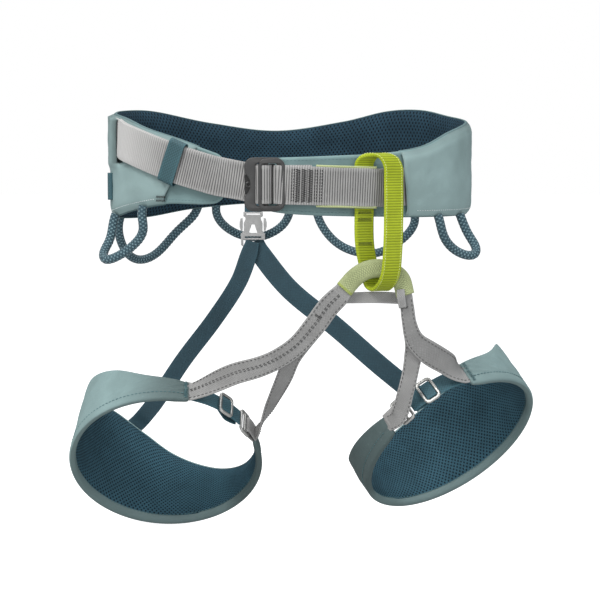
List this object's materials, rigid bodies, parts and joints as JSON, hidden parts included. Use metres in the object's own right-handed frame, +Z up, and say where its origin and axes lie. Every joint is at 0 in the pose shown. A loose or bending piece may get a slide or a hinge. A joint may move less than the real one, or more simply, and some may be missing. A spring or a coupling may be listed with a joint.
{
  "type": "climbing sit harness",
  "caption": "Padded waist belt with a webbing buckle, a front belay loop, cord gear loops and adjustable leg loops hung from a bridge and rear elastic risers.",
  "frame": {"origin": "middle of the whole harness's box; the middle of the waist ring is at (-0.0109, 0.0004, 0.1465)", "axes": "+X to the wearer's left, -Y to the front (buckle and belay loop), +Z up"},
  "size_m": [0.4411, 0.253, 0.4017],
  "materials": {
    "belt_lining_mesh": "spacer mesh",
    "foam": "closed cell foam, hidden",
    "shell_fabric": "plain woven nylon",
    "waist_webbing": "ribbed woven webbing",
    "tie_in_webbing": "ribbed woven webbing",
    "pale_sleeve": "tightly woven wear sleeve",
    "buckle_metal": "dark anodised, satin",
    "slider_metal": "dark anodised, satin",
    "keeper_elastic": "woven elastic",
    "gear_cord": "braided sheath over cord",
    "accessory_tab": "woven tape",
    "belay_loop_webbing": "tight woven webbing",
    "leg_webbing": "woven webbing",
    "bridge_core": "woven webbing",
    "cross_webbing": "woven webbing",
    "leg_lining_mesh": "spacer mesh",
    "edge_binding": "bias binding",
    "clip_plastic": "moulded, matte",
    "clip_arm_plastic": "moulded, matte",
    "riser_elastic": "woven elastic",
    "adjuster_elastic": "woven tape",
    "adjuster_metal": "satin"
  },
  "bodies": {
    "belt": {"accessory_slot": "accessory_tab", "belt_base_shell": "shell_fabric", "belt_foam": "foam", "belt_lining": "belt_lining_mesh", "belt_outer_shell": "shell_fabric", "bridge_protector": "pale_sleeve", "bridge_webbing": "bridge_core", "buckle_plate": "buckle_metal", "cross_strap": "cross_webbing", "riser_clip": "clip_plastic", "riser_left": "riser_elastic", "riser_right": "riser_elastic", "riser_tab": "accessory_tab", "tie_in_strap": "tie_in_webbing", "waist_webbing": "waist_webbing", "wear_sleeve_lower": "pale_sleeve", "wear_sleeve_upper": "pale_sleeve"},
    "belay": {"belay_loop": "belay_loop_webbing"},
    "slider": {"buckle_slider": "slider_metal"},
    "keeper": {"waist_keeper": "keeper_elastic"},
    "arm_right": {"clip_arm_right": "clip_arm_plastic"},
    "arm_left": {"clip_arm_left": "clip_arm_plastic"},
    "loop_right_front": {"gear_loop_right_front": "gear_cord"},
    "loop_right_rear": {"gear_loop_right_rear": "gear_cord"},
    "loop_left_rear": {"gear_loop_left_rear": "gear_cord"},
    "loop_left_front": {"gear_loop_left_front": "gear_cord"},
    "loop_haul": {"haul_loop": "gear_cord"},
    "leg_right": {"leg_shell_right": "shell_fabric", "leg_foam_right": "foam", "leg_lining_right": "leg_lining_mesh", "leg_binding_right": "edge_binding", "leg_front_webbing_right": "leg_webbing", "leg_fork_webbing_right": "leg_webbing", "leg_adjuster_strap_right": "adjuster_elastic", "leg_buckle_loop_right": "leg_webbing", "riser_end_right": "riser_elastic"},
    "lock_right": {"leg_ladder_lock_right": "adjuster_metal"},
    "ring_right": {"leg_strap_ring_right": "adjuster_metal"},
    "leg_left": {"leg_shell_left": "shell_fabric", "leg_foam_left": "foam", "leg_lining_left": "leg_lining_mesh", "leg_binding_left": "edge_binding", "leg_front_webbing_left": "leg_webbing", "leg_fork_webbing_left": "leg_webbing", "leg_adjuster_strap_left": "adjuster_elastic", "leg_buckle_loop_left": "leg_webbing", "riser_end_left": "riser_elastic"},
    "lock_left": {"leg_ladder_lock_left": "adjuster_metal"},
    "ring_left": {"leg_strap_ring_left": "adjuster_metal"}
  },
  "joints": [
    {"name": "belay_tilt", "type": "hinge", "parent": "belt", "child": "belay", "pos_m": [0.0671, -0.1126, 0.0565], "axis": [0.2614, -0.9652, 0], "range_deg": [-3.2, 1.5]},
    {"name": "slider_slide", "type": "slide", "parent": "belt", "child": "slider", "axis": [1, 0, 0], "range_m": [-0.0005, 0.0012]},
    {"name": "keeper_slide", "type": "slide", "parent": "belt", "child": "keeper", "axis": [-0.8288, 0.4551, 0.3256], "range_m": [-0.003, 0.003]},
    {"name": "arm_right_squeeze", "type": "hinge", "parent": "belt", "child": "arm_right", "pos_m": [-0.0606, 0.0994, 0.0815], "axis": [0, 1, 0], "range_deg": [0, 5], "stiffness_Nm_per_rad": 0.004},
    {"name": "arm_left_squeeze", "type": "hinge", "parent": "belt", "child": "arm_left", "pos_m": [-0.0372, 0.0994, 0.0815], "axis": [0, 1, 0], "range_deg": [-5, 0], "stiffness_Nm_per_rad": 0.004},
    {"name": "right_front_loop_swing", "type": "hinge", "parent": "belt", "child": "loop_right_front", "pos_m": [-0.1479, -0.0686, 0.109], "axis": [-0.5576, 0.8075, -0.1923], "range_deg": [-8, 50]},
    {"name": "right_rear_loop_swing", "type": "hinge", "parent": "belt", "child": "loop_right_rear", "pos_m": [-0.1769, 0.0284, 0.0935], "axis": [0.7259, 0.6856, 0.0554], "range_deg": [-10, 50]},
    {"name": "haul_loop_swing", "type": "hinge", "parent": "belt", "child": "loop_haul", "pos_m": [-0.0869, 0.1014, 0.1005], "axis": [0.9912, 0.1322, 0], "range_deg": [-10, 50]},
    {"name": "left_rear_loop_swing", "type": "hinge", "parent": "belt", "child": "loop_left_rear", "pos_m": [0.0141, 0.1104, 0.0975], "axis": [0.9499, -0.3102, -0.0388], "range_deg": [-10, 50]},
    {"name": "left_front_loop_swing", "type": "hinge", "parent": "belt", "child": "loop_left_front", "pos_m": [0.1481, -0.0406, 0.1], "axis": [-0.6459, -0.7633, 0.0147], "range_deg": [-8, 50]},
    {"name": "leg_right_swing", "type": "hinge", "parent": "belt", "child": "leg_right", "pos_m": [0.0371, -0.1116, 0.0415], "axis": [-1, 0, 0], "range_deg": [0, 12], "stiffness_Nm_per_rad": 0.8, "springref_deg": -11.46},
    {"name": "leg_left_swing", "type": "hinge", "parent": "belt", "child": "leg_left", "pos_m": [0.0941, -0.1116, 0.0355], "axis": [-1, 0, 0], "range_deg": [0, 12], "stiffness_Nm_per_rad": 0.8, "springref_deg": -11.46},
    {"name": "lock_right_tilt", "type": "hinge", "parent": "leg_right", "child": "lock_right", "pos_m": [-0.05105, -0.03291, -0.09436], "axis": [0, 0.7799, 0.6259], "range_deg": [-7, 7]},
    {"name": "lock_left_tilt", "type": "hinge", "parent": "leg_left", "child": "lock_left", "pos_m": [0.08689, -0.08, -0.07532], "axis": [-0.4613, 0.6014, 0.6524], "range_deg": [-7, 7]},
    {"name": "ring_right_slide", "type": "slide", "parent": "leg_right", "child": "ring_right", "axis": [0.7153, 0.4135, -0.5633], "range_m": [-0.004, 0.004]},
    {"name": "ring_left_slide", "type": "slide", "parent": "leg_left", "child": "ring_left", "axis": [-0.8348, -0.103, -0.5409], "range_m": [-0.004, 0.004]}
  ]
}
